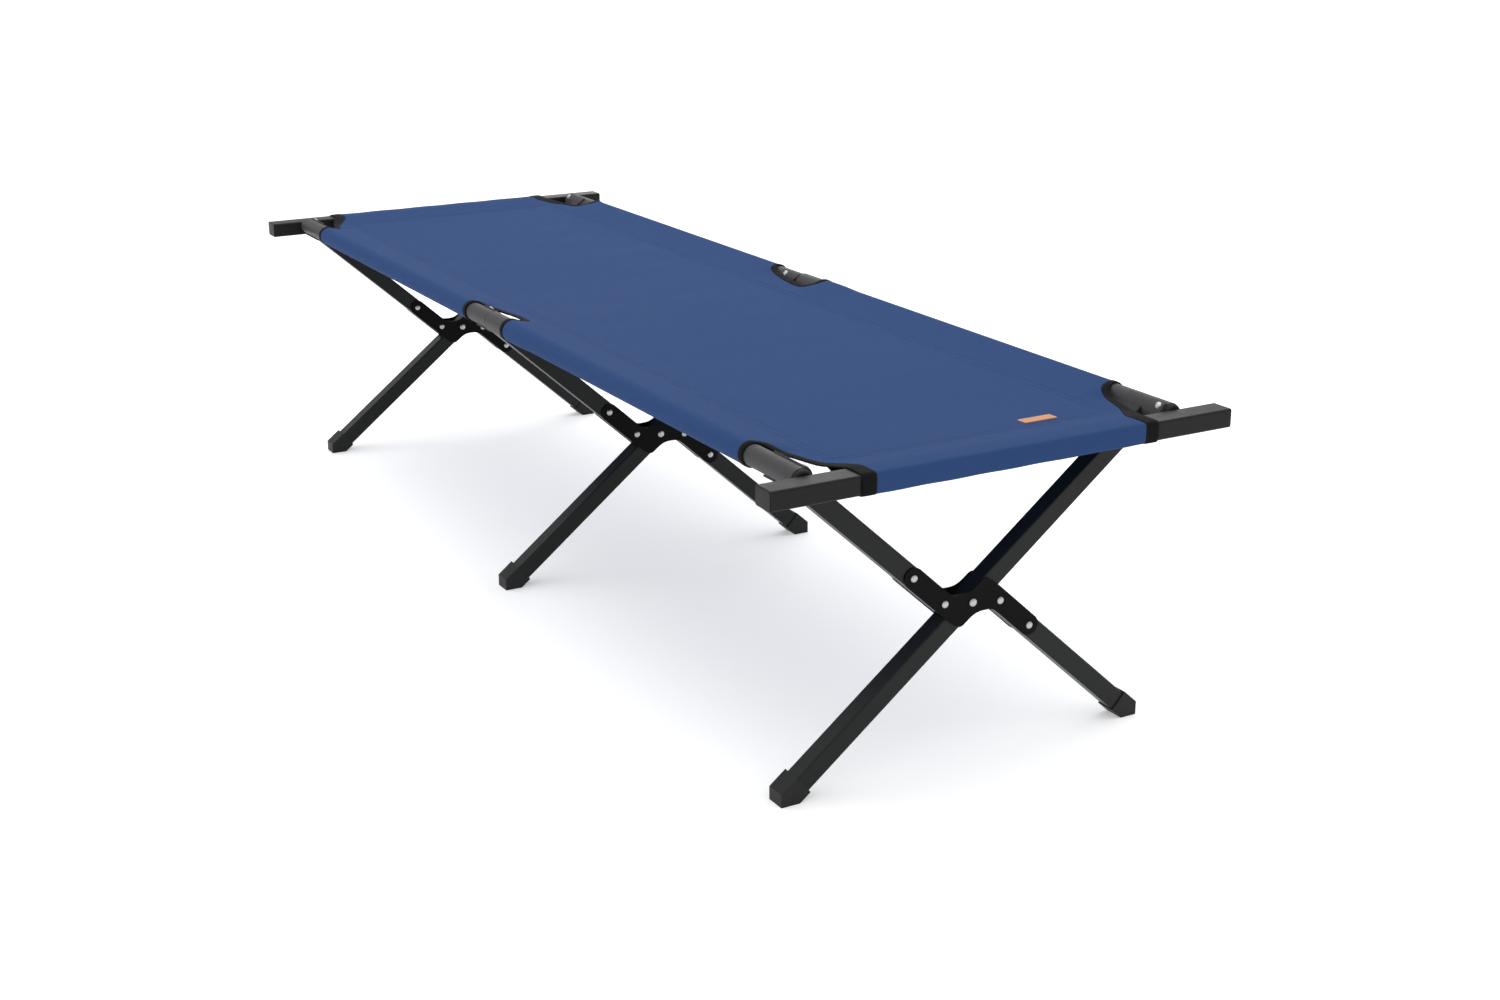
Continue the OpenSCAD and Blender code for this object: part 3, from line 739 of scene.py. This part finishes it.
# ------------------------------------------------------------ label patch
def label():
    x0, x1, y0, y1 = llo.x, lhi.x, llo.y, lhi.y
    cx, cy, hx, hy = (x0 + x1) / 2, (y0 + y1) / 2, (x1 - x0) / 2, (y1 - y0) / 2
    verts, uvs, faces = [], [], []
    nx, ny = 14, 34
    rc = 0.0016
    th = 0.0011
    grid = []
    for i in range(nx + 1):
        col = []
        for j in range(ny + 1):
            u, v = 2 * i / nx - 1, 2 * j / ny - 1
            # rounded corners in plan, a soft roll-off at the rim, a pressed line along the stitches
            x, y = u * hx, v * hy
            ex, ey = max(0, abs(x) - (hx - rc)), max(0, abs(y) - (hy - rc))
            if ex and ey:
                l = hypot(ex, ey)
                k = min(1, rc / l * max(ex, ey) / rc) if l > 0 else 1
                x = math.copysign(hx - rc + ex * k, x)
                y = math.copysign(hy - rc + ey * k, y)
            rim = min(hx - abs(x), hy - abs(y))
            drop = 0.0005 * math.exp(-(rim / 0.0006) ** 2)
            groove = 0.00022 * math.exp(-((rim - 0.0019) / 0.0006) ** 2)
            col.append((cx + x, cy + y, th - drop - groove))
        grid.append(col)
    top = []
    for col in grid:
        r = []
        for x, y, h in col:
            verts.append(F(x, y, T / 2 + h))
            uvs.append((x, y))
            r.append(len(verts) - 1)
        top.append(r)
    bot = []
    for col in grid:
        r = []
        for x, y, h in col:
            verts.append(F(x, y, T / 2 + 0.00003))
            uvs.append((x, y))
            r.append(len(verts) - 1)
        bot.append(r)
    for i in range(nx):
        for j in range(ny):
            faces.append((top[i][j], top[i + 1][j], top[i + 1][j + 1], top[i][j + 1]))
            faces.append((bot[i][j], bot[i][j + 1], bot[i + 1][j + 1], bot[i + 1][j]))
    for i in range(nx):
        faces.append((top[i][0], bot[i][0], bot[i + 1][0], top[i + 1][0]))
        faces.append((top[i][ny], top[i + 1][ny], bot[i + 1][ny], bot[i][ny]))
    for j in range(ny):
        faces.append((top[0][j], top[0][j + 1], bot[0][j + 1], bot[0][j]))
        faces.append((top[nx][j], bot[nx][j], bot[nx][j + 1], top[nx][j + 1]))
    o = build("blank_label", verts, faces, uvs, M["label_leather"])
    m = 0.0019
    c = [(cx - hx + m, cy - hy + m), (cx + hx - m, cy - hy + m), (cx + hx - m, cy + hy - m), (cx - hx + m, cy + hy - m), (cx - hx + m, cy - hy + m)]
    st = stitches("label_stitching", [(cover_fn, [c[k], c[k + 1]], T / 2 + th - 0.00015) for k in range(4)], M["label_thread"], pitch=0.0025, length=0.0017, r=0.00028)
    return o, st


patch, patch_stitch = label()

# ------------------------------------------------------------ soft pieces: transforms baked into their meshes, CAD cloth parts hidden
START, END = (0.0, -0.200, PANEL), (0.0, 0.200, PANEL)
for o in (cover, mid_tape, corner_tape, seams, bstitch, patch, patch_stitch):
    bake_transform(o)
    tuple(START)
    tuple(END)
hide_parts("bed_panel", "bed_sleeves")
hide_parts("middle_bindings")
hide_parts("corner_bindings")
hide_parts("label_patch")
FLAT_W = 2 * s_end(0.5)

# ------------------------------------------------------------ floor, light, camera
bpy.ops.mesh.primitive_plane_add(size=80, location=(0, 0, 0))
floor = bpy.context.object
floor.name = "floor"
fm = Net("floor_paint", Roughness=0.9, **{"Specular IOR Level": 0.1, "Emission Color": (1, 1, 1, 1), "Emission Strength": 0.3})
fm.to(fm.ramp(fm.noise(0.4, 2.0), (0.86, 0.86, 0.86), (0.9, 0.9, 0.9)), "Base Color")
floor.data.materials.append(fm.m)

bpy.context.scene.view_settings.view_transform = "Standard"
world = bpy.data.worlds.new("studio")
world.use_nodes = True
wt = world.node_tree
bg = wt.nodes["Background"]
tc = wt.nodes.new("ShaderNodeTexCoord")
sp = wt.nodes.new("ShaderNodeSeparateXYZ")
mr = wt.nodes.new("ShaderNodeMapRange")
for k, v in (("From Min", 0.0), ("From Max", 0.6), ("To Min", 0.62), ("To Max", 1.12)):
    mr.inputs[k].default_value = v
wt.links.new(tc.outputs["Generated"], sp.inputs["Vector"])
wt.links.new(sp.outputs["Z"], mr.inputs["Value"])
wt.links.new(mr.outputs["Result"], bg.inputs["Strength"])
bg.inputs["Color"].default_value = (1, 1, 1, 1)
bpy.context.scene.world = world


def area(name, loc, target, size, power, col=(1, 1, 1)):
    d = bpy.data.lights.new(name, "AREA")
    d.energy = power
    d.shape = "RECTANGLE"
    d.size, d.size_y = size
    d.color = col
    o = bpy.data.objects.new(name, d)
    o.location = loc
    o.rotation_euler = (Vector(target) - Vector(loc)).to_track_quat("-Z", "Y").to_euler()
    bpy.context.scene.collection.objects.link(o)


area("overhead", (-0.4, 0.3, 4.0), (0, 0, 0.4), (4.5, 3.5), 55)
area("behind_left", (-3.4, 2.4, 1.9), (0, 0, 0.4), (3.0, 1.8), 22)
area("left", (-1.8, -3.2, 1.8), (0, 0, 0.3), (2.4, 1.6), 12)

AZ, EL, ROLL = radians(60.467), radians(18.452), radians(-0.161)
back = Vector((sin(AZ) * cos(EL), -cos(AZ) * cos(EL), sin(EL)))
right = Vector((cos(AZ), sin(AZ), 0))
up = back.cross(right)
r2 = right * cos(ROLL) + up * sin(ROLL)
u2 = -right * sin(ROLL) + up * cos(ROLL)
cam = bpy.data.cameras.new("camera")
cam.sensor_fit = "HORIZONTAL"
cam.sensor_width = 36.0
cam.lens = 1996.438 / 1500 * 36
cam.clip_end = 60
co = bpy.data.objects.new("camera", cam)
co.matrix_world = Matrix(((r2.x, u2.x, back.x, 2.7766), (r2.y, u2.y, back.y, -1.4009), (r2.z, u2.z, back.z, 1.1374), (0, 0, 0, 1)))
bpy.context.scene.collection.objects.link(co)
bpy.context.scene.camera = co
